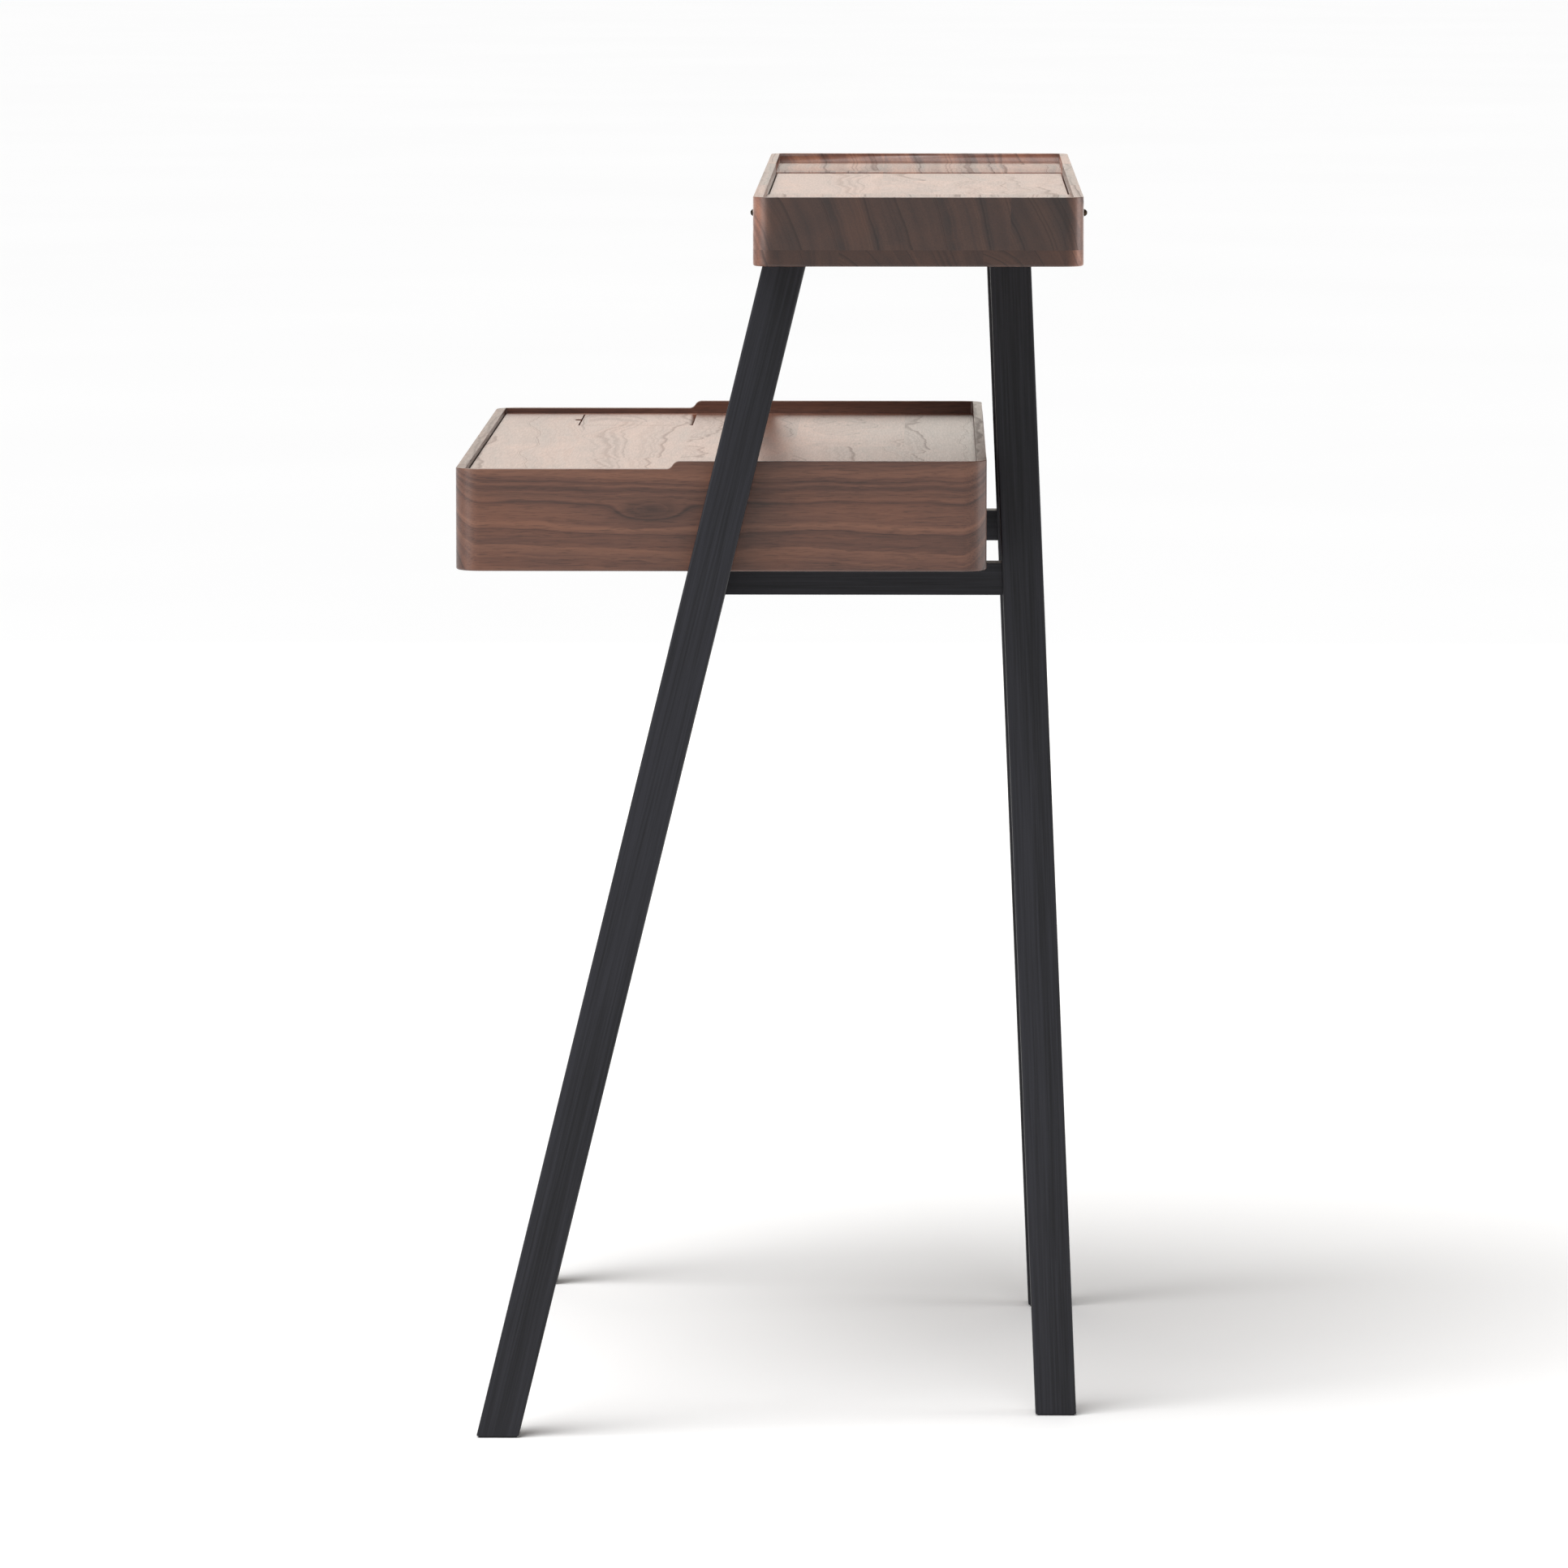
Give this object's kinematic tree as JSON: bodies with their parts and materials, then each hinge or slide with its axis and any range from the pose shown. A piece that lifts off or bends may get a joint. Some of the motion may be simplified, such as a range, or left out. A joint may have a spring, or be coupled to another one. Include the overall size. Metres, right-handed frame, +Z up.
{
  "type": "two-level writing desk",
  "caption": "Small walnut writing desk with a raised shelf box, drawers in both levels, a lidded pen well and slender black-stained legs.",
  "frame": {"origin": "on the floor, under the middle of the whole desk's box", "axes": "+X across the desk towards the sitter's right, -Y towards the sitter, +Z up"},
  "size_m": [0.882, 0.4928, 0.9633],
  "materials": {
    "walnut_side": "oiled satin walnut",
    "walnut_top": "oiled satin walnut, glued staves",
    "leg_stain": "black-stained oak under matt lacquer",
    "drawer_maple": "clear-oiled maple",
    "dowel_beech": "turned beech",
    "knob_brass": "darkened, polished on the neck",
    "zinc_steel": "zinc plated",
    "glide_felt": "pressed felt"
  },
  "bodies": {
    "frame_and_boxes": {"front_leg_right": "leg_stain", "front_leg_left": "leg_stain", "rear_leg_right": "leg_stain", "rear_leg_left": "leg_stain", "front_cross_rail": "leg_stain", "rear_cross_rail": "leg_stain", "side_rail_right": "leg_stain", "side_rail_left": "leg_stain", "foot_glides": "glide_felt", "shelf_dowels": "dowel_beech", "leg_bolts": "zinc_steel", "rail_screws": "zinc_steel", "desk_side_right": "walnut_side", "desk_side_left": "walnut_side", "desk_back_board": "walnut_side", "desk_bottom_board": "walnut_top", "writing_board": "walnut_top", "pen_well_frame": "walnut_top", "pen_well_floor": "walnut_top", "desk_runner_right": "drawer_maple", "desk_runner_left": "drawer_maple", "desk_drawer_stop": "drawer_maple", "shelf_base_board": "walnut_side", "shelf_end_right": "walnut_side", "shelf_end_left": "walnut_side", "shelf_center_panel": "walnut_top", "shelf_guide_right": "drawer_maple", "shelf_guide_left": "drawer_maple", "shelf_divider": "drawer_maple", "shelf_drawer_stops": "drawer_maple"},
    "desk_drawer": {"desk_drawer_front": "walnut_side", "desk_drawer_side_right": "drawer_maple", "desk_drawer_side_left": "drawer_maple", "desk_drawer_back": "drawer_maple", "desk_drawer_bottom": "drawer_maple", "desk_drawer_dowels": "dowel_beech"},
    "near_drawer": {"near_drawer_front": "walnut_side", "near_drawer_side_right": "drawer_maple", "near_drawer_side_left": "drawer_maple", "near_drawer_back": "drawer_maple", "near_drawer_bottom": "drawer_maple", "near_drawer_dowels": "dowel_beech", "near_knob": "knob_brass"},
    "far_drawer": {"far_drawer_front": "walnut_side", "far_drawer_side_right": "drawer_maple", "far_drawer_side_left": "drawer_maple", "far_drawer_back": "drawer_maple", "far_drawer_bottom": "drawer_maple", "far_drawer_dowels": "dowel_beech", "far_knob": "knob_brass"},
    "pen_lid": {"pen_lid": "walnut_top", "pen_lid_pins": "knob_brass"}
  },
  "joints": [
    {"name": "desk_drawer_slide", "type": "slide", "parent": "frame_and_boxes", "child": "desk_drawer", "axis": [0, -1, 0], "range_m": [0, 0.265]},
    {"name": "near_drawer_slide", "type": "slide", "parent": "frame_and_boxes", "child": "near_drawer", "axis": [0, -1, 0], "range_m": [0, 0.072]},
    {"name": "far_drawer_slide", "type": "slide", "parent": "frame_and_boxes", "child": "far_drawer", "axis": [0, 1, 0], "range_m": [0, 0.072]},
    {"name": "pen_lid_hinge", "type": "hinge", "parent": "frame_and_boxes", "child": "pen_lid", "pos_m": [-0.2735, -0.082, 0.7427], "axis": [-1, 0, 0], "range_deg": [0, 95]}
  ]
}
